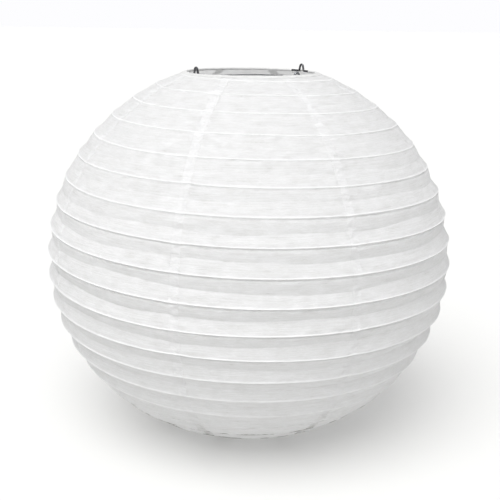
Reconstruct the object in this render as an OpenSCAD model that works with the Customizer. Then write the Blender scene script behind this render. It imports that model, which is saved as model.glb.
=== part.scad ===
/* [Shade] */
// Widest diameter of the paper shade
shade_d = 350; // [300:5:400]
// Height from the widest line to the upper pole of the ellipse
upper_h = 167; // [150:1:180]
// Height from the widest line to the lower pole of the ellipse
lower_h = 160; // [140:1:170]
// Thickness of the paper wall
paper_t = 0.8; // [0.4:0.1:1]
// Angle of the first seam, counter-clockwise from the right ear
seam_angle = 36; // [0:1:44]

/* [Rib wire] */
// Diameter of the rib wire
rib_d = 1; // [0.8:0.1:1.2]
// Turns of the rib wire above the widest line
upper_turns = 9.7; // [7:0.1:11]
// Turns of the rib wire below the widest line
lower_turns = 10; // [7:0.1:11]
// Direction in which the rib wire crosses the widest line
rib_angle = -5.5; // [-180:0.5:180]

/* [Rings] */
// Radius of the top ring, to the middle of its wire
top_ring_r = 55; // [54:0.5:60]
// Radius of the bottom ring, to the middle of its wire
bottom_ring_r = 48; // [46:0.5:49]
// Diameter of the wire of both rings
ring_d = 1.8; // [1.4:0.1:2]
// Thickness of the paper strip bound round each ring
binding_t = 0.5; // [0.3:0.1:0.6]
// Height of the ears above the top ring, to the middle of their wire
ear_h = 5.4; // [5:0.1:7]
// Half the length of bare wire left at each ear
ear_bare = 12; // [10:0.5:16]

/* [Expander] */
// Diameter of the expander wire
expander_d = 2; // [1.6:0.1:2.2]
// Reach of the expander's shoulders from the axis
shoulder_x = 52.1; // [50:0.1:52.1]
// Reach of the expander's legs from the axis, at their feet
foot_x = 44; // [42:0.5:45]
// Depth of the cross bar below the top ring
bar_depth = 20; // [16:1:40]
// Radius of the hanging eye, to the middle of its wire
eye_r = 5; // [4:0.5:7]

/* [Hidden] */

gore_count = 8;
gore_sweep = 360 / gore_count;
gore_steps = 26;
shade_r = shade_d / 2;
ring_fit = 0.1;
binding_r = ring_d / 2 + ring_fit + binding_t;
edge_drop = 0.42;
top_edge_r = top_ring_r + binding_r;
bottom_edge_r = bottom_ring_r + binding_r;
top_t = acos(top_edge_r / shade_r);
bottom_t = acos(bottom_edge_r / shade_r);
// Heights of the rings' wires and of the widest line, above the surface that the lantern stands on
bottom_z = binding_r;
middle_z = bottom_z - edge_drop + lower_h * sin(bottom_t);
top_z = middle_z + upper_h * sin(top_t) - edge_drop;

rib_inset = paper_t + rib_d / 2 + 0.3;
rib_steps = 36;
rib_end_gap = 0.8;

ear_top_r = 2;
ear_foot_r = 1.8;
ear_lean = 75;
ear_s = ear_spread();

toe_z = 2 * binding_r + expander_d / 2 + 0.05;
toe_x = bottom_ring_r + 1.3;
shoulder_z = top_z - 1.6;
shoulder_r = 2.2;
bar_z = top_z - bar_depth;
eye_pitch = expander_d + 0.2;

// The distance from an ear's middle to where its foot leaves the ring
function ear_spread() =
    let (rise = ear_h - ear_top_r + ear_top_r * cos(ear_lean) - ear_foot_r * (1 - cos(ear_lean)))
    (ear_top_r + ear_foot_r) * sin(ear_lean) + rise / tan(ear_lean);

function unit(v) = v / norm(v);

// A point of the shade's section: t is 0 at the widest line and rises towards the upper pole
function shade_point(t, inset) =
    [(shade_r - inset) * cos(t), middle_z + ((t > 0 ? upper_h : lower_h) - inset) * sin(t)];

// The section's points from the lower edge to the upper one, set in from the outside by inset
function shade_line(inset) =
    let (low = -acos(bottom_edge_r / (shade_r - inset)), high = acos(top_edge_r / (shade_r - inset)))
    [for (i = [0 : gore_steps]) shade_point(low + (high - low) * i / gore_steps, inset)];

// The place of the rib wire after k turns, counted from the widest line and positive below it
function rib_point(k) =
    let (t = -k * (k < 0 ? top_t / upper_turns : bottom_t / lower_turns))
    let (p = shade_point(t, rib_inset))
    [p[0] * cos(rib_angle + 360 * k), p[0] * sin(rib_angle + 360 * k), p[1]];

// Half of an ear, from its foot to its top, as distance along the ring and height above it
function half_ear() = concat(
    [for (a = [0 : 15 : ear_lean]) [-ear_s + ear_foot_r * sin(a), ear_foot_r * (1 - cos(a))]],
    [for (a = [90 - ear_lean : 15 : 90]) [-ear_top_r * cos(a), ear_h - ear_top_r * (1 - sin(a))]]
);

function whole_ear() =
    let (half = half_ear(), n = len(half))
    concat(half, [for (i = [1 : n - 1]) [-half[n - 1 - i][0], half[n - 1 - i][1]]]);

// The top ring's path, which climbs over an ear at the right and at the left
function top_ring_path() =
    let (gap = ear_s / top_ring_r * 180 / PI, arc_steps = 34)
    [for (side = [0, 1]) each concat(
        [for (p = whole_ear()) ring_point(180 * side + p[0] / top_ring_r * 180 / PI, p[1])],
        [for (i = [1 : arc_steps - 1]) ring_point(180 * side + gap + (180 - 2 * gap) * i / arc_steps, 0)]
    )];

function ring_point(a, rise) = [top_ring_r * cos(a), top_ring_r * sin(a), top_z + rise];

// Points of a round bend of radius r at corner b, between a and c
function bend(a, b, c, r) =
    let (u = unit(a - b), v = unit(c - b), half = acos(u * v) / 2)
    let (middle = b + unit(u + v) * r / sin(half), reach = r / tan(half))
    let (from = b + u * reach - middle, to = b + v * reach - middle, turn = 180 - 2 * half)
    let (steps = ceil(turn / 20))
    [for (i = [0 : steps]) middle + (from * sin(turn * (1 - i / steps)) + to * sin(turn * i / steps)) / sin(turn)];

// The expander's left half, from its toe to the hanging eye
function half_expander() =
    let (inner_x = shoulder_x - 2 * shoulder_r, out_y = -eye_pitch / 2)
    let (toe = [-toe_x, 0, toe_z], foot = [-foot_x, 0, toe_z], top = [-shoulder_x, 0, shoulder_z - shoulder_r])
    let (drop = [-inner_x, 0, shoulder_z - shoulder_r], corner = [-inner_x, 0, bar_z], eye = [0, out_y, bar_z])
    concat(
        [toe],
        bend(toe, foot, top, 3),
        [for (a = [0 : 20 : 180]) [-shoulder_x + shoulder_r * (1 - cos(a)), 0, top[2] + shoulder_r * sin(a)]],
        bend(drop, corner, eye, 4)
    );

function expander_path() =
    let (left = half_expander(), n = len(left))
    concat(
        left,
        [for (a = [0 : 20 : 360]) [eye_r * sin(a), eye_pitch * (a / 360 - 0.5), bar_z + eye_r * (1 - cos(a))]],
        [for (i = [1 : n]) [-left[n - i][0], -left[n - i][1], left[n - i][2]]]
    );

// A round wire swept along path; each ref is a direction that stays across the wire there
module wire(path, refs, d, sides, closed) {
    n = len(path);
    rows = closed ? n : n - 1;
    points = [for (i = [0 : n - 1])
        let (next = closed ? (i + 1) % n : min(i + 1, n - 1), last = closed ? (i + n - 1) % n : max(i - 1, 0))
        let (along = unit(path[next] - path[last]))
        let (across = unit(refs[i] - along * (refs[i] * along)), up = cross(along, across))
        for (j = [0 : sides - 1])
            path[i] + (across * cos(360 * j / sides) + up * sin(360 * j / sides)) * d / 2];
    walls = [for (i = [0 : rows - 1], j = [0 : sides - 1])
        let (k = (j + 1) % sides, m = (i + 1) % n)
        [i * sides + j, m * sides + j, m * sides + k, i * sides + k]];
    ends = closed ? [] : [
        [for (j = [0 : sides - 1]) j],
        [for (j = [sides - 1 : -1 : 0]) (n - 1) * sides + j]
    ];
    polyhedron(points, concat(walls, ends), convexity = 10);
}

// One of the paper gores, as a slice of the shade's wall
module gore(i) {
    outside = shade_line(0);
    inside = shade_line(paper_t);
    color(i % 2 == 0 ? "white" : "whitesmoke")
        rotate([0, 0, seam_angle + gore_sweep * i])
        rotate_extrude(angle = gore_sweep, $fn = 96)
        polygon(concat(outside, [for (j = [gore_steps : -1 : 0]) inside[j]]));
}

// The single steel wire wound inside the shade, which gives it its ribs
module rib_wire() {
    count = floor((upper_turns + lower_turns - 2 * rib_end_gap) * rib_steps);
    path = [for (i = [0 : count]) rib_point(rib_end_gap - upper_turns + i / rib_steps)];
    color("silver")
        wire(path, [for (p = path) [p[0], p[1], 0]], rib_d, 6, false);
}

// The top ring, with the two ears that the expander's shoulders sit under
module top_ring() {
    path = top_ring_path();
    color("dimgray")
        wire(path, [for (p = path) [p[0], p[1], 0]], ring_d, 8, true);
}

module bottom_ring() {
    color("dimgray")
        translate([0, 0, bottom_z])
        rotate_extrude($fn = 96)
        translate([bottom_ring_r, 0])
        circle(d = ring_d, $fn = 24);
}

// A strip of paper bound round a ring, eight-sided, with a round channel for the wire
module binding(ring_r, z) {
    flat = binding_r * tan(22.5);
    outline = [
        [binding_r, -flat], [binding_r, flat], [flat, binding_r], [-flat, binding_r],
        [-binding_r, flat], [-binding_r, -flat], [-flat, -binding_r], [flat, -binding_r]
    ];
    translate([0, 0, z])
        rotate_extrude($fn = 96)
        translate([ring_r, 0])
        difference() {
            polygon(outline);
            circle(d = ring_d + 2 * ring_fit, $fn = 24);
        }
}

// The top binding is cut away above the bare wire at each ear
module top_binding() {
    cut = binding_r * 4;
    color("white")
        difference() {
            binding(top_ring_r, top_z);
            for (side = [-1, 1])
                translate([side * top_ring_r, 0, top_z - 0.3 + cut / 2])
                cube([cut, 2 * ear_bare, cut], center = true);
        }
}

module bottom_binding() {
    color("white")
        binding(bottom_ring_r, bottom_z);
}

// The bent wire frame that holds the rings apart, with the hanging eye in its cross bar
module expander() {
    path = expander_path();
    color("gray")
        wire(path, [for (p = path) [0, 1, 0]], expander_d, 8, false);
}

gore(0);  // gore_1
gore(1);  // gore_2
gore(2);  // gore_3
gore(3);  // gore_4
gore(4);  // gore_5
gore(5);  // gore_6
gore(6);  // gore_7
gore(7);  // gore_8
rib_wire();
top_ring();
bottom_ring();
top_binding();
bottom_binding();
expander();
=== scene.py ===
import bpy
import bmesh
from math import acos, ceil, cos, exp, floor, pi, radians, sin, tan
from mathutils import Matrix, Vector, noise


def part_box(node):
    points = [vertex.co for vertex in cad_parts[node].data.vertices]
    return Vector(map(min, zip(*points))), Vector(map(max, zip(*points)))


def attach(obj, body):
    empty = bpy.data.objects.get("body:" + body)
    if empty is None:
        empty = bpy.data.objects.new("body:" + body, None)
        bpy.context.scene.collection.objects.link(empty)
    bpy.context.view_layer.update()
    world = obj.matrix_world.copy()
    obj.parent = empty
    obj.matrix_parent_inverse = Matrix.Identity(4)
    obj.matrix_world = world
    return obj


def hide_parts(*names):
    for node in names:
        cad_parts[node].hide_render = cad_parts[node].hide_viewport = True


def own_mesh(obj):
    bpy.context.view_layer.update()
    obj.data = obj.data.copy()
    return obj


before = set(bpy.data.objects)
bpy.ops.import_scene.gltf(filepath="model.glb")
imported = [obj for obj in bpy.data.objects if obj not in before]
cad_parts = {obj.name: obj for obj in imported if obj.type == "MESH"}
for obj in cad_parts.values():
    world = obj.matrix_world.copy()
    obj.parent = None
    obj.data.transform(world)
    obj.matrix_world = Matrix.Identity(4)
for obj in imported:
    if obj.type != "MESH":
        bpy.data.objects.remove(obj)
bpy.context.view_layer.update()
mm = 0.001
print("frame loaded")


def boxMiddle(node):
    low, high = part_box(node)
    return (Vector(low) + Vector(high)) / 2

def boxSize(node):
    low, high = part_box(node)
    return Vector(high) - Vector(low)

goreNames = [f"gore_{i + 1}" for i in range(8)]
bindingRadius = boxSize("bottom_binding").z / 2
shade = {
    "radius": max(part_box(name)[1][axis] for name in goreNames for axis in (0, 1)),
    "upperHeight": 167 * mm,    # from the widest line to the pole of the upper half
    "lowerHeight": 160 * mm,
    "upperTurns": 9.7,          # turns of the rib wire above the widest line
    "lowerTurns": 10,
    "ribAngle": radians(-5.5),  # where the rib wire crosses the widest line
    "ribEndGap": 0.8,           # turns left out at each end
    "firstSeam": radians(36),
    "edgeDrop": 0.42 * mm,      # from the paper's edge down to the top ring's middle
}
topRing = {
    "z": boxMiddle("top_binding").z,
    "radius": round(boxSize("top_binding").x / 2 - bindingRadius, 4),
    "wire": 1.8 * mm,
    "earHeight": 5.4 * mm,
    "earTop": 2.0 * mm,         # radius of the bend at an ear's top
    "earFoot": 1.8 * mm,        # radius of the bends at its foot
    "earLean": radians(75),
    "bareHalf": 12 * mm,        # bare wire on each side of an ear's middle
}
bottomRing = {
    "z": boxMiddle("bottom_binding").z,
    "radius": round(boxSize("bottom_binding").y / 2 - bindingRadius, 4),
    "wire": 1.8 * mm,
}
shade["topEdge"] = acos((topRing["radius"] + bindingRadius) / shade["radius"])
shade["bottomEdge"] = acos((bottomRing["radius"] + bindingRadius) / shade["radius"])
shade["middle"] = bottomRing["z"] - shade["edgeDrop"] + shade["lowerHeight"] * sin(shade["bottomEdge"])
seamStep = 2 * pi / len(goreNames)
print("widest line at", round(shade["middle"], 4), "top ring at", round(topRing["z"], 4))


camera = {
    "distance": 770 * mm,       # to the middle of the widest line
    "azimuth": radians(-126),   # where it stands, counter-clockwise from the right ear
    "elevation": radians(15.48),
    "roll": radians(0.72),
    "lens": 61.9,
    "shiftX": 0.0024,
    "shiftY": 0.0038,
}

def makeCamera():
    data = bpy.data.cameras.new("camera")
    data.lens = camera["lens"]
    data.sensor_width = 36
    data.shift_x = camera["shiftX"]
    data.shift_y = camera["shiftY"]
    data.clip_end = 20
    eye = bpy.data.objects.new("camera", data)
    bpy.context.collection.objects.link(eye)
    bpy.context.scene.camera = eye
    out = Vector((cos(camera["azimuth"]) * cos(camera["elevation"]),
                  sin(camera["azimuth"]) * cos(camera["elevation"]), sin(camera["elevation"])))
    right = Vector((-sin(camera["azimuth"]), cos(camera["azimuth"]), 0))
    turn = Matrix.Rotation(camera["roll"], 3, out)
    axes = Matrix((turn @ right, turn @ out.cross(right), out)).transposed().to_4x4()
    place = Vector((0, 0, shade["middle"])) + out * camera["distance"]
    eye.matrix_world = Matrix.Translation(place) @ axes

makeCamera()
print("camera placed")


# materials

def linear(code):
    values = [int(code[i:i + 2], 16) / 255 for i in (1, 3, 5)]
    return [v / 12.92 if v <= 0.04045 else ((v + 0.055) / 1.055) ** 2.4 for v in values] + [1]

def addNode(tree, kind, inputs=None, **settings):
    node = tree.nodes.new(kind)
    for name, value in settings.items():
        setattr(node, name, value)
    for name, value in (inputs or {}).items():
        if isinstance(value, bpy.types.NodeSocket):
            tree.links.new(value, node.inputs[name])
        else:
            node.inputs[name].default_value = value
    return node

def newMaterial(name):
    material = bpy.data.materials.new(name)
    material.use_nodes = True
    material.node_tree.nodes.clear()
    return material, material.node_tree

ricePaperLook = {
    "colour": "#f4f4f4",
    "thickSpot": "#fafafa",     # where fibres lie over each other
    "thinSpot": "#eeeeed",
    "creaseShadeGrey": "#a9a8a4",      # the darkest tone: painted shade on the broken crease lines low on the lampshade
    "cloudTone": 0.27,          # how much each pattern moves the tone
    "crepeTone": 0.58,
    "fibreTone": 0.3,
    # painted highlight along each rib's upper side, and painted shade where the paper turns under it
    "ribHighlightTone": 0.5,
    "ribShadeTone": 0.08,
    "lapPaintedLight": 0.08,            # painted light: a seam drawn lighter on the upper two thirds, where light falls on the doubled paper
    "lapPaintedShade": 0.28,       # taken from it in the lower third: painted shade, where less light comes through the doubled paper
    # how strongly the painted crease shade darkens
    "creaseShadeTone": 0.9,
    "letThrough": 0.6,          # share of the light that goes on at each side of the sheet
    "cloudShare": 0.2,          # and what changes it
    "lapShare": 0.04,
    "ribShare": 0.25,
    "ribLine": 1.1 * mm,        # half the width of the painted highlight and painted shade drawn along each rib
    "lap": 7.2 * mm,            # how far two gores lie over each other
    "lapRagged": 1.6 * mm,
    "fibreLength": 9 * mm,
    "fibreWidth": 0.8 * mm,     # really 0.05 mm: drawn this wide so that it shows
    "cloud": 9 * mm,
    "crepe": 1.1 * mm,          # from one drying wrinkle to the next
    "relief": 0.35 * mm,
}

def makeRicePaper():
    # machine-made rice paper, a thin felt of long fibres dried on a roller: matt, cloudy, with faint
    # strands and drying wrinkles across it; painted lighter on the laps high up, painted shade on them low
    # down
    look = ricePaperLook
    material, tree = newMaterial("ricePaper")
    flat = addNode(tree, "ShaderNodeUVMap", uv_map="paper").outputs["UV"]
    ribs = addNode(tree, "ShaderNodeUVMap", uv_map="ribs").outputs["UV"]

    def mathNode(operation, a, b=0.0, clamp=False):
        return addNode(tree, "ShaderNodeMath", {0: a, 1: b}, operation=operation, use_clamp=clamp).outputs[0]

    def times(a, b):
        return mathNode("MULTIPLY", a, b)

    def mapRange(value, low, high, start=0.0, end=1.0, **settings):
        ends = {"Value": value, 1: low, 2: high, 3: start, 4: end}
        return addNode(tree, "ShaderNodeMapRange", ends, **settings).outputs[0]

    def streaks(turn, length, width, detail, seed):
        # noise drawn out along one direction of the sheet
        way = addNode(tree, "ShaderNodeMapping", {"Vector": flat, "Location": (seed, seed, 0),
                                                  "Rotation": (0, 0, turn),
                                                  "Scale": (1 / length, 1 / width, 1)}).outputs[0]
        settings = {"Vector": way, "Scale": 1, "Detail": detail, "Roughness": 0.55}
        return addNode(tree, "ShaderNodeTexNoise", settings, noise_dimensions="2D").outputs[0]

    def strands(turn, seed):
        # a thin line wherever the drawn-out noise passes its middle value
        value = streaks(turn, look["fibreLength"], look["fibreWidth"] * 2.2, 1, seed)
        off = mathNode("ABSOLUTE", mathNode("SUBTRACT", value, 0.5))
        return mathNode("SUBTRACT", 1, mathNode("MULTIPLY", off, 14, clamp=True), clamp=True)

    fibres = mathNode("ADD", times(strands(0.25, 3), 0.5), times(strands(-0.5, 8), 0.3))
    fibres = mathNode("ADD", fibres, times(strands(1.3, 15), 0.3))
    clouds = streaks(0, look["cloud"], look["cloud"] * 0.6, 3, 21)
    crepe = streaks(0.02, look["crepe"] * 22, look["crepe"], 3, 33)
    fine = streaks(-0.03, look["crepe"] * 8, look["crepe"] * 0.5, 2, 47)
    laps = addNode(tree, "ShaderNodeUVMap", uv_map="laps").outputs["UV"]
    lapParts = addNode(tree, "ShaderNodeSeparateXYZ", {0: laps}).outputs
    ragged = times(mathNode("SUBTRACT", fine, 0.5), look["lapRagged"])
    fromEdge = mathNode("ADD", lapParts[0], ragged)
    lap = mapRange(fromEdge, look["lap"] - 0.3 * mm, look["lap"] + 0.3 * mm, 1.0, 0.0)
    low = lapParts[1]
    high = mathNode("SUBTRACT", 1, low)
    apart = addNode(tree, "ShaderNodeSeparateXYZ", {0: ribs})
    # tones drawn along each rib: a painted highlight on the wire's upper side, and a little painted shade
    # where the paper turns under
    fromRib = mapRange(apart.outputs[0], 0.0, look["ribLine"], 1.0, 0.0, interpolation_type="SMOOTHSTEP")
    under = mapRange(apart.outputs[1], 0.47, 0.53)
    paintedRibHighlight = times(fromRib, mathNode("SUBTRACT", 1, under))
    paintedRibShade = times(fromRib, under)
    body = mathNode("ADD", times(clouds, look["cloudTone"]), times(crepe, look["crepeTone"]))
    body = mathNode("ADD", body, times(fibres, look["fibreTone"]))
    # painted highlight on each rib, on the upper two thirds
    body = mathNode("ADD", body, times(paintedRibHighlight, times(high, look["ribHighlightTone"])))
    # painted light on the laps: lighter on the upper two thirds, painted shade in the lower third
    lapPaintedLight = mathNode("SUBTRACT", look["lapPaintedLight"], times(low, look["lapPaintedShade"]))
    body = mathNode("ADD", body, times(lap, lapPaintedLight))
    # low on the lampshade, a broken grey line on each rib is painted shade for creases that are not in the
    # mesh
    broken = mapRange(streaks(0, 14 * mm, 4 * mm, 2, 61), 0.4, 0.6)
    line = times(times(fromRib, low), broken)
    # painted shade right under each rib
    body = mathNode("SUBTRACT", body, times(paintedRibShade, look["ribShadeTone"]))
    # painted crease shade
    body = mathNode("SUBTRACT", body, times(line, look["creaseShadeTone"]))
    tone = addNode(tree, "ShaderNodeValToRGB", {"Fac": body})
    tone.color_ramp.elements[0].position = 0.3
    tone.color_ramp.elements[0].color = linear(look["thinSpot"])
    # the darkest stop is the grey of the painted crease shade
    creaseShadeStop = tone.color_ramp.elements.new(0.0)
    creaseShadeStop.color = linear(look["creaseShadeGrey"])
    between = tone.color_ramp.elements.new(0.55)
    between.color = linear(look["colour"])
    tone.color_ramp.elements[-1].position = 0.85
    tone.color_ramp.elements[-1].color = linear(look["thickSpot"])
    height = mathNode("ADD", times(crepe, 0.55), times(fine, 0.3))
    height = mathNode("ADD", height, times(fibres, 0.25))
    crinkle = streaks(0.7, look["crepe"] * 2.4, look["crepe"] * 1.6, 2, 77)
    height = mathNode("ADD", height, times(crinkle, times(lap, 1.6)))
    relief = {"Strength": 0.55, "Distance": look["relief"], "Height": height}
    bump = addNode(tree, "ShaderNodeBump", relief).outputs[0]
    rough = mapRange(fibres, 0.0, 1.0, 0.88, 0.78)
    paperBody = addNode(tree, "ShaderNodeBsdfPrincipled", {"Base Color": tone.outputs[0], "Roughness": rough,
                                                           "IOR": 1.47, "Specular IOR Level": 0.25,
                                                           "Normal": bump})
    through = addNode(tree, "ShaderNodeBsdfTranslucent", {"Color": tone.outputs[0], "Normal": bump})
    cloudy = times(mathNode("SUBTRACT", clouds, 0.5), look["cloudShare"])
    share = mathNode("SUBTRACT", look["letThrough"], cloudy)
    share = mathNode("SUBTRACT", share, times(lap, look["lapShare"]))
    share = mathNode("SUBTRACT", share, times(fromRib, look["ribShare"]), clamp=True)
    mixed = addNode(tree, "ShaderNodeMixShader", {0: share, 1: paperBody.outputs[0], 2: through.outputs[0]})
    addNode(tree, "ShaderNodeOutputMaterial", {"Surface": mixed.outputs[0]})
    return material

bindingPaperLook = {
    "dark": "#ebebea",
    "light": "#f5f5f4",
    "letThrough": 0.4,
    "cloud": 5 * mm,
    "wrinkle": 1.4 * mm,
    "relief": 0.3 * mm,
}

def makeBindingPaper():
    # the same paper cut in a strip, soaked with glue and pressed round the ring: a little greyer, less clear
    look = bindingPaperLook
    material, tree = newMaterial("gluedPaperStrip")
    place = addNode(tree, "ShaderNodeTexCoord").outputs["Object"]
    cloudNoise = {"Vector": place, "Scale": 1 / look["cloud"], "Detail": 3}
    clouds = addNode(tree, "ShaderNodeTexNoise", cloudNoise).outputs[0]
    wrinkleNoise = {"Vector": place, "Scale": 1 / look["wrinkle"], "Detail": 2}
    wrinkles = addNode(tree, "ShaderNodeTexNoise", wrinkleNoise).outputs[0]
    tone = addNode(tree, "ShaderNodeValToRGB", {"Fac": clouds})
    tone.color_ramp.elements[0].position = 0.35
    tone.color_ramp.elements[0].color = linear(look["dark"])
    tone.color_ramp.elements[1].position = 0.7
    tone.color_ramp.elements[1].color = linear(look["light"])
    relief = {"Strength": 0.6, "Distance": look["relief"], "Height": wrinkles}
    bump = addNode(tree, "ShaderNodeBump", relief).outputs[0]
    body = addNode(tree, "ShaderNodeBsdfPrincipled", {"Base Color": tone.outputs[0], "Roughness": 0.75,
                                                      "IOR": 1.47, "Specular IOR Level": 0.3, "Normal": bump})
    through = addNode(tree, "ShaderNodeBsdfTranslucent", {"Color": tone.outputs[0], "Normal": bump})
    mixed = addNode(tree, "ShaderNodeMixShader", {0: look["letThrough"], 1: body.outputs[0],
                                                  2: through.outputs[0]})
    addNode(tree, "ShaderNodeOutputMaterial", {"Surface": mixed.outputs[0]})
    return material

wireLook = {
    "lineLength": 14 * mm,      # the die's marks along the wire
    "lineWidth": 0.25 * mm,
    "relief": 0.04 * mm,
}

def makeDrawnWire(name, dark, light, rough, patch):
    # steel wire drawn through a die: a soft shine with fine lines along it, and an uneven tone
    look = wireLook
    material, tree = newMaterial(name)
    along = addNode(tree, "ShaderNodeUVMap", uv_map="wire").outputs["UV"]
    scale = (1 / look["lineLength"], 1 / look["lineWidth"], 1)
    lines = addNode(tree, "ShaderNodeMapping", {"Vector": along, "Scale": scale}).outputs[0]
    drawn = addNode(tree, "ShaderNodeTexNoise", {"Vector": lines, "Scale": 1, "Detail": 3},
                    noise_dimensions="2D").outputs[0]
    place = addNode(tree, "ShaderNodeTexCoord").outputs["Object"]
    patchNoise = {"Vector": place, "Scale": 1 / patch, "Detail": 4}
    patches = addNode(tree, "ShaderNodeTexNoise", patchNoise).outputs[0]
    tone = addNode(tree, "ShaderNodeValToRGB", {"Fac": patches})
    tone.color_ramp.elements[0].position = 0.35
    tone.color_ramp.elements[0].color = linear(dark)
    tone.color_ramp.elements[1].position = 0.68
    tone.color_ramp.elements[1].color = linear(light)
    gloss = addNode(tree, "ShaderNodeMapRange", {"Value": drawn, 3: rough - 0.08, 4: rough + 0.12}).outputs[0]
    relief = {"Strength": 0.35, "Distance": look["relief"], "Height": drawn}
    bump = addNode(tree, "ShaderNodeBump", relief).outputs[0]
    body = addNode(tree, "ShaderNodeBsdfPrincipled", {"Base Color": tone.outputs[0], "Metallic": 1.0,
                                                      "Roughness": gloss, "Normal": bump})
    addNode(tree, "ShaderNodeOutputMaterial", {"Surface": body.outputs[0]})
    return material

ricePaper = makeRicePaper()
bindingPaper = makeBindingPaper()
darkWire = makeDrawnWire("darkDrawnSteel", "#48484b", "#6a6a6d", 0.36, 6 * mm)
zincWire = makeDrawnWire("zincCoatedSteel", "#7d7f83", "#a3a5a8", 0.38, 3 * mm)
brightWire = makeDrawnWire("brightDrawnSteel", "#8f9093", "#b9babc", 0.3, 8 * mm)
print("materials made")


def finish(sheet, name, node, material):
    mesh = bpy.data.meshes.new(name)
    sheet.to_mesh(mesh)
    sheet.free()
    return finishMesh(mesh, name, node, material)

def finishMesh(mesh, name, node, material):
    mesh.materials.clear()
    mesh.materials.append(material)
    piece = bpy.data.objects.new(name, mesh)
    bpy.context.collection.objects.link(piece)
    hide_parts(node)
    return piece


# the shade's surface: a turn is counted along the section, negative above the widest line

pleat = {
    "depth": 3.3 * mm,          # how far the deepest pleats sink between ribs
    "shallow": 0.4 * mm,        # and the flattest, near the rings
    "centre": radians(-8),      # where on the section they are deepest
    "spread": radians(33),
    "bead": 0.45 * mm,          # the paper's rise over the rib wire
    "beadWidth": 0.75 * mm,
    "tuck": 0.9 * mm,           # and how it tucks in right under it
    "tuckBelow": 1.5 * mm,
    "tuckWidth": 0.6 * mm,
    "uneven": 0.5,
    "wander": 0.5 * mm,         # how far the ribs stray in and out
    "stray": 0.035,             # and up and down, in turns
    "seamReach": 7 * mm,
    "crumple": 0.9 * mm,
    "wrinkle": 0.34 * mm,
    "pitch": 21.8 * mm,         # from one rib to the next
    "stops": [0, 0.4, 0.85, 1.35, 1.9, 2.7, 4.1, 6, 8, 9.6, 10.5],   # rows of vertices in half a band, in mm
}
paper = {
    "thickness": 0.12 * mm,
    "lapHalf": 3.6 * mm,          # each gore passes its seams by this much
    "lapLift": 0.09 * mm,
    "columns": 56,
    "evenShare": 0.4,           # how much of the columns' spacing is even
}

def sectionAngle(turn):
    if turn < 0:
        return -turn * shade["topEdge"] / shade["upperTurns"]
    return -turn * shade["bottomEdge"] / shade["lowerTurns"]

def sectionPoint(turn, inset):
    t = sectionAngle(turn)
    height = shade["upperHeight"] if t > 0 else shade["lowerHeight"]
    return (shade["radius"] - inset) * cos(t), shade["middle"] + (height - inset) * sin(t)

def ribTurns(angle):
    return (angle - shade["ribAngle"]) / (2 * pi)

def roundNoise(angle, level, size, seed):
    return noise.noise(Vector((cos(angle) * size + seed, sin(angle) * size - seed, level)))

def seamNear(angle, radius):
    away = (angle - shade["firstSeam"]) % seamStep
    away = min(away, seamStep - away) * radius
    return exp(-(away / pleat["seamReach"]) ** 2)

def endFade(turn):
    left = min(turn + shade["upperTurns"], shade["lowerTurns"] - turn)
    return max(0.0, min(1.0, left / 0.8))

def lowness(turn):
    # 0 down to the lower third of the shade, and then up to 1
    return max(0.0, min(1.0, (-sectionAngle(turn) - radians(32)) / radians(18)))

def strays(turn, angle, near):
    # how far the wire strays at this place: in turns, and inwards
    along = roundNoise(angle, turn * 0.9, 1.1, 3.1) + 1.2 * near * roundNoise(angle, turn * 2.7, 9, 7.7)
    inward = pleat["wander"] * roundNoise(angle, turn * 0.8, 1.4, 11.3) + 0.3 * mm * near
    return pleat["stray"] * along, inward

def creasePlace(angle, whole, near):
    slow = roundNoise(angle, whole * 5.3, 2.2, 17.1)
    return 0.5 + 0.16 * slow + 0.12 * near * roundNoise(angle, whole * 7.9, 6, 23.0)

def paperPoint(angle, whole, part, lift):
    # a point of the paper, part of the way from rib number whole to the next one down
    turn = whole + part + ribTurns(angle)
    radius, z = sectionPoint(turn, 0)
    near = seamNear(angle, radius)
    along, inward = strays(turn, angle, near)
    t = sectionAngle(turn)
    deep = pleat["shallow"] + pleat["depth"] / (1 + ((t - pleat["centre"]) / pleat["spread"]) ** 4)
    deep *= 1 + pleat["uneven"] * roundNoise(angle, whole * 3.7, 1.6, 5.9)
    deep *= 1 - 0.25 * near
    crease = creasePlace(angle, whole, near)
    share = part / crease if part < crease else (1 - part) / (1 - crease)
    fromRib = min(part, 1 - part) * pleat["pitch"]
    inset = inward + deep * share - pleat["bead"] * exp(-(fromRib / pleat["beadWidth"]) ** 2)
    fromTuck = (part * pleat["pitch"] - pleat["tuckBelow"]) / pleat["tuckWidth"]
    inset += pleat["tuck"] * min(1, (deep / pleat["depth"]) ** 2) * exp(-fromTuck ** 2)
    place = Vector((cos(angle) * radius, sin(angle) * radius, z))
    creased = noise.noise(Vector((angle * radius / (38 * mm), whole * 9.1, part * 6.5)))
    inset += pleat["wrinkle"] * (1 + 0.8 * lowness(turn)) * creased * min(1, fromRib / (3 * mm))
    inset += pleat["crumple"] * near * noise.noise(place / (4 * mm)) * min(1, fromRib / (2.5 * mm))
    fade = endFade(turn)
    radius, z = sectionPoint(turn + along * fade, inset * fade - lift)
    return Vector((cos(angle) * radius, sin(angle) * radius, z))

def bandStops():
    # the rows of vertices between two ribs, as parts of the way, with the crease at a half
    half = [stop * mm / pleat["pitch"] for stop in pleat["stops"]]
    return half + [0.5] + [1 - part for part in half[:0:-1]]

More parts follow.
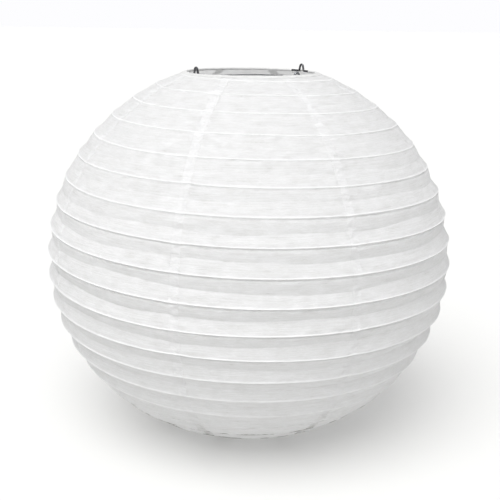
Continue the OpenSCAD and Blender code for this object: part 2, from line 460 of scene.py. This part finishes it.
def makeGore(index):
    left = shade["firstSeam"] + seamStep * index
    stops = bandStops()
    first = ceil(-shade["upperTurns"] - ribTurns(left) + 0.03)
    last = floor(shade["lowerTurns"] - ribTurns(left + seamStep) - 0.03)
    bands = last - first + 2
    rows = len(stops) * bands
    even = paper["evenShare"]
    sheet = bmesh.new()
    bmesh.ops.create_grid(sheet, x_segments=paper["columns"], y_segments=rows, size=0.5)
    flat = sheet.loops.layers.uv.new("paper")
    ribs = sheet.loops.layers.uv.new("ribs")
    laps = sheet.loops.layers.uv.new("laps")
    spots = {}
    for vert in sheet.verts:
        share = vert.co.x + 0.5
        across = even * share + (1 - even) * (0.5 - 0.5 * cos(pi * share))
        band, step = divmod(round((0.5 - vert.co.y) * rows), len(stops))
        whole = first - 1 + band
        angle = left + seamStep * across
        turn = max(-shade["upperTurns"], min(shade["lowerTurns"], whole + stops[step] + ribTurns(angle)))
        radius, z = sectionPoint(turn, 0)
        angle += (2 * across - 1) * paper["lapHalf"] / radius
        # the first and last band end at the paper's edges, and the row at a half goes to the crease
        top = -shade["upperTurns"] - ribTurns(angle)
        bottom = shade["lowerTurns"] - ribTurns(angle)
        low, high = max(whole, top), min(whole + 1, bottom)
        part = stops[step]
        if band == bands:
            low, part = bottom, 0
        elif low == whole and high == whole + 1:
            crease = creasePlace(angle, whole, seamNear(angle, radius))
            part = 2 * part * crease if part < 0.5 else 1 - 2 * (1 - part) * (1 - crease)
        within = low + (high - low) * part
        vert.co = paperPoint(angle, whole, within - whole, (2 * across - 1) * paper["lapLift"])
        wide = seamStep * radius + 2 * paper["lapHalf"]
        down = -(within + ribTurns(angle)) * pleat["pitch"]
        part = within - whole
        fromRib = min(part, 1 - part) * pleat["pitch"]
        spots[vert] = [Vector(((across - 0.5) * wide + index * 0.37, down)),
                       Vector((fromRib, 0.5 + 0.5 * sin(2 * pi * part))),
                       Vector((min(across, 1 - across) * wide, lowness(within + ribTurns(angle))))]
    for face in sheet.faces:
        face.smooth = True
        for loop in face.loops:
            loop[flat].uv, loop[ribs].uv, loop[laps].uv = spots[loop.vert]
    bmesh.ops.recalc_face_normals(sheet, faces=sheet.faces)
    middle = sheet.faces[len(sheet.faces) // 2]
    if middle.normal.dot(middle.calc_center_median() - Vector((0, 0, shade["middle"]))) < 0:
        bmesh.ops.reverse_faces(sheet, faces=sheet.faces)
    bmesh.ops.solidify(sheet, geom=sheet.faces, thickness=paper["thickness"])
    gore = finish(sheet, f"paperGore{index + 1}", f"gore_{index + 1}", ricePaper)
    gore.data.set_sharp_from_angle(angle=radians(60))
    return gore


# the wires

def scaleWireMap(mesh, path, diameter, closed):
    # the sweep's own map counts points along and turns around; this makes both metres
    lengths = [0.0]
    for here, there in zip(path, path[1:] + path[:1]):
        lengths.append(lengths[-1] + (there - here).length)
    steps = len(path) if closed else len(path) - 1
    layer = mesh.uv_layers[0]
    layer.name = "wire"
    for corner in layer.data:
        along, around = corner.uv
        corner.uv = (lengths[min(steps, max(0, round(along * steps)))], around * pi * diameter)

def sweepWire(name, path, diameter, closed, node, material):
    curve = bpy.data.curves.new(name, "CURVE")
    curve.dimensions = "3D"
    curve.bevel_depth = diameter / 2
    curve.bevel_resolution = 3
    curve.use_fill_caps = not closed
    line = curve.splines.new("POLY")
    line.points.add(len(path) - 1)
    line.use_cyclic_u = closed
    for point, place in zip(line.points, path):
        point.co = (*place, 1)
    swept = bpy.data.objects.new(name + "Curve", curve)
    mesh = bpy.data.meshes.new_from_object(swept)
    mesh.name = name
    scaleWireMap(mesh, path, diameter, closed)
    bpy.data.objects.remove(swept)
    return finishMesh(mesh, name, node, material)

def ribPath():
    stepsPerTurn = 120
    start = shade["ribEndGap"] - shade["upperTurns"]
    end = shade["lowerTurns"] - shade["ribEndGap"]
    path = []
    for i in range(round((end - start) * stepsPerTurn) + 1):
        turn = start + i / stepsPerTurn
        angle = shade["ribAngle"] + 2 * pi * turn
        radius, z = sectionPoint(turn, 0)
        along, inward = strays(turn, angle, seamNear(angle, radius))
        fade = endFade(turn)
        inset = inward * fade - pleat["bead"] + paper["thickness"] + rib["wire"] / 2 + rib["gap"]
        radius, z = sectionPoint(turn + along * fade, inset)
        path.append(Vector((cos(angle) * radius, sin(angle) * radius, z)))
    return path

rib = {"wire": 1.0 * mm, "gap": 0.17 * mm}

def ringPoint(side, along, rise):
    angle = pi * side + along / topRing["radius"]
    return Vector((cos(angle) * topRing["radius"], sin(angle) * topRing["radius"], topRing["z"] + rise))

def earHalf():
    # from an ear's foot to its top, as places along the ring and heights above it
    lean, top, foot = topRing["earLean"], topRing["earTop"], topRing["earFoot"]
    rise = topRing["earHeight"] - top + top * cos(lean) - foot * (1 - cos(lean))
    spread = (top + foot) * sin(lean) + rise / tan(lean)
    steps = [radians(5) * i for i in range(16)]
    points = [(-spread + foot * sin(a), foot * (1 - cos(a))) for a in steps]
    upper = [pi / 2 - lean + step for step in steps]
    points += [(-top * cos(a), topRing["earHeight"] - top * (1 - sin(a))) for a in upper]
    return points

def topRingPath():
    half = earHalf()
    ear = half + [(-along, rise) for along, rise in half[-2::-1]]
    path = []
    for side in (0, 1):
        path += [ringPoint(side, along, rise) for along, rise in ear]
        gap = ear[-1][0]
        span = pi * topRing["radius"] - 2 * gap
        path += [ringPoint(side, gap + span * i / 100, 0) for i in range(1, 100)]
    return path

def bottomRingPath():
    turns = [2 * pi * i / 200 for i in range(200)]
    radius, z = bottomRing["radius"], bottomRing["z"]
    return [Vector((cos(a) * radius, sin(a) * radius, z)) for a in turns]

expander = {
    "wire": 2.0 * mm,
    "shoulderX": 52.1 * mm,
    "shoulderDrop": 1.6 * mm,   # from the top ring's middle down to the shoulders
    "shoulderBend": 2.2 * mm,
    "footX": 44 * mm,
    "toePast": 1.3 * mm,        # how far a toe passes the bottom ring's middle
    "toeLift": 0.05 * mm,
    "footBend": 3 * mm,
    "barDepth": 20 * mm,
    "barBend": 4 * mm,
    "eye": 5 * mm,
    "eyeGap": 0.2 * mm,
}

def roundBend(before, corner, after, radius):
    u = (before - corner).normalized()
    v = (after - corner).normalized()
    half = u.angle(v) / 2
    middle = corner + (u + v).normalized() * radius / sin(half)
    start = corner + u * radius / tan(half) - middle
    end = corner + v * radius / tan(half) - middle
    turn = pi - 2 * half
    steps = ceil(turn / radians(6))
    return [middle + (start * sin(turn * (1 - i / steps)) + end * sin(turn * i / steps)) / sin(turn)
            for i in range(steps + 1)]

def expanderPath():
    e = expander
    toeZ = 2 * bindingRadius + e["wire"] / 2 + e["toeLift"]
    topZ = topRing["z"] - e["shoulderDrop"] - e["shoulderBend"]
    barZ = topRing["z"] - e["barDepth"]
    innerX = e["shoulderX"] - 2 * e["shoulderBend"]
    eyeHalf = (e["wire"] + e["eyeGap"]) / 2
    toe = Vector((-bottomRing["radius"] - e["toePast"], 0, toeZ))
    foot = Vector((-e["footX"], 0, toeZ))
    shoulder = Vector((-e["shoulderX"], 0, topZ))
    path = [toe] + roundBend(toe, foot, shoulder, e["footBend"])
    for i in range(31):
        a = pi * i / 30
        path.append(Vector((-e["shoulderX"] + e["shoulderBend"] * (1 - cos(a)), 0,
                            topZ + e["shoulderBend"] * sin(a))))
    above, corner = Vector((-innerX, 0, topZ)), Vector((-innerX, 0, barZ))
    path += roundBend(above, corner, Vector((0, -eyeHalf, barZ)), e["barBend"])
    eye = [Vector((e["eye"] * sin(a), 2 * eyeHalf * (a / (2 * pi) - 0.5), barZ + e["eye"] * (1 - cos(a))))
           for a in [2 * pi * i / 60 for i in range(61)]]
    return path + eye + [Vector((-p.x, -p.y, p.z)) for p in reversed(path)]


# the paper strips bound round the rings

strip = {
    "thickness": 0.12 * mm,
    "roll": 1.04 * mm,          # radius of the roll round the wire
    "outerTail": 3.2 * mm,
    "innerTail": 2.4 * mm,
    "offPaper": 0.16 * mm,
    "uneven": 0.35 * mm,
    "rough": 0.12 * mm,
    "around": 320,
}

def makeBinding(name, ring, side, node, body):
    # side is 1 at the top ring and -1 at the bottom one; the strip's section is drawn for the top
    edge = shade["upperTurns"] if side > 0 else shade["lowerTurns"]
    def onPaper(distance, lift):
        turn = -side * (edge - distance / pleat["pitch"])
        return sectionPoint(turn, -lift)
    outer = strip["offPaper"] + paper["thickness"]
    section = [onPaper(strip["outerTail"] * (1 - i / 6), outer) for i in range(7)]
    for i in range(17):
        a = radians(48 + 250 * i / 16)
        section.append((ring["radius"] + strip["roll"] * cos(a), ring["z"] + side * strip["roll"] * sin(a)))
    inner = paper["thickness"] + 0.25 * mm
    section += [onPaper(strip["innerTail"] * i / 5, -inner) for i in range(1, 6)]
    sheet = bmesh.new()
    verts = [sheet.verts.new((radius, 0, z)) for radius, z in section]
    lines = [sheet.edges.new(pair) for pair in zip(verts, verts[1:])]
    bmesh.ops.spin(sheet, geom=verts + lines, cent=(0, 0, 0), axis=(0, 0, 1), angle=2 * pi,
                   steps=strip["around"], use_merge=True)
    bmesh.ops.remove_doubles(sheet, verts=sheet.verts, dist=0.01 * mm)
    bmesh.ops.recalc_face_normals(sheet, faces=sheet.faces)
    bare = []
    for face in sheet.faces:
        face.smooth = True
        middle = face.calc_center_median()
        onRoll = abs(middle.xy.length - ring["radius"]) < strip["roll"] * 1.05
        ragged = topRing["bareHalf"] + 0.6 * mm * noise.noise(middle / (2 * mm))
        if side > 0 and onRoll and abs(middle.y) < ragged:
            bare.append(face)
    bmesh.ops.delete(sheet, geom=bare, context="FACES")
    for vert in sheet.verts:
        out = Vector((vert.co.x, vert.co.y, 0)).normalized()
        fromRing = vert.co - out * ring["radius"] - Vector((0, 0, ring["z"]))
        shift = strip["uneven"] * noise.noise(vert.co / (7 * mm))
        shift += strip["rough"] * noise.noise(vert.co / (1.8 * mm))
        if fromRing.length < strip["roll"] * 1.1:
            vert.co += fromRing.normalized() * min(0.1 * mm, shift * 0.4)
        elif vert.co.xy.length - ring["radius"] > 3 * mm:
            vert.co += out * shift * 1.5
    bmesh.ops.solidify(sheet, geom=sheet.faces, thickness=strip["thickness"])
    piece = finish(sheet, name, node, bindingPaper)
    piece.data.set_sharp_from_angle(angle=radians(60))
    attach(piece, body)
    return piece


gores = [makeGore(i) for i in range(len(goreNames))]
print("gores made")
ribWire = sweepWire("ribWire", ribPath(), rib["wire"], False, "rib_wire", brightWire)
for piece in gores + [ribWire]:
    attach(piece, "shade")
    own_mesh(piece)
topRingWire = sweepWire("topRingWire", topRingPath(), topRing["wire"], True, "top_ring",
                        darkWire)
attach(topRingWire, "top_rim")
bottomRingWire = sweepWire("bottomRingWire", bottomRingPath(), bottomRing["wire"], True,
                           "bottom_ring", darkWire)
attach(bottomRingWire, "shade")
expanderWire = sweepWire("expanderWire", expanderPath(), expander["wire"], False, "expander",
                         zincWire)
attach(expanderWire, "expander")
print("wires made")
makeBinding("topBinding", topRing, 1, "top_binding", "top_rim")
makeBinding("bottomBinding", bottomRing, -1, "bottom_binding", "shade")
print("bindings made")


stage = {
    "floor": "#c3c3c1",
    "floorGlow": 0.24,          # a white acrylic light table, which takes the edge off the shadow
    "floorHalf": 60,
    "world": 0.62,             # overhead, rising to the brightness of the floor at the horizon
    "key": 3.0,
    "keyAngle": radians(48),    # how wide the soft light looks from the lantern
    "keyHeight": radians(58),
    "keyLeft": radians(20),     # from the camera's direction round to its left
}

def makeStage():
    board = bmesh.new()
    bmesh.ops.create_grid(board, x_segments=1, y_segments=1, size=stage["floorHalf"])
    mesh = bpy.data.meshes.new("floor")
    board.to_mesh(mesh)
    board.free()
    floorPiece = bpy.data.objects.new("floor", mesh)
    bpy.context.collection.objects.link(floorPiece)
    # sandblasted white acrylic, lit a little from below: matt and almost even
    material, tree = newMaterial("whiteAcrylic")
    place = addNode(tree, "ShaderNodeTexCoord").outputs["Object"]
    grain = addNode(tree, "ShaderNodeTexNoise", {"Vector": place, "Scale": 1 / (2 * mm)}).outputs[0]
    relief = {"Strength": 0.1, "Distance": 0.1 * mm, "Height": grain}
    bump = addNode(tree, "ShaderNodeBump", relief).outputs[0]
    body = addNode(tree, "ShaderNodeBsdfPrincipled", {"Base Color": linear(stage["floor"]), "Roughness": 0.9,
                                                      "Emission Color": linear("#ffffff"),
                                                      "Emission Strength": stage["floorGlow"], "Normal": bump})
    addNode(tree, "ShaderNodeOutputMaterial", {"Surface": body.outputs[0]})
    mesh.materials.append(material)

def makeLights():
    world = bpy.data.worlds.new("studio")
    bpy.context.scene.world = world
    world.use_nodes = True
    tree = world.node_tree
    tree.nodes.clear()
    toSky = addNode(tree, "ShaderNodeTexCoord").outputs["Generated"]
    up = addNode(tree, "ShaderNodeSeparateXYZ", {0: toSky}).outputs["Z"]
    fade = {"Value": up, 1: 0.02, 2: 0.16, 3: 1.0, 4: stage["world"]}
    strength = addNode(tree, "ShaderNodeMapRange", fade).outputs[0]
    sky = addNode(tree, "ShaderNodeBackground", {"Color": linear("#fdfdff"), "Strength": strength})
    addNode(tree, "ShaderNodeOutputWorld", {"Surface": sky.outputs[0]})
    soft = bpy.data.lights.new("softKey", "SUN")
    soft.energy = stage["key"]
    soft.angle = stage["keyAngle"]
    lamp = bpy.data.objects.new("softKey", soft)
    bpy.context.collection.objects.link(lamp)
    around = camera["azimuth"] - stage["keyLeft"]
    level = cos(stage["keyHeight"])
    source = Vector((cos(around) * level, sin(around) * level, sin(stage["keyHeight"])))
    lamp.matrix_world = source.to_track_quat("Z", "Y").to_matrix().to_4x4()

makeStage()
makeLights()
bpy.context.scene.view_settings.view_transform = "Standard"
print("stage and lights set")
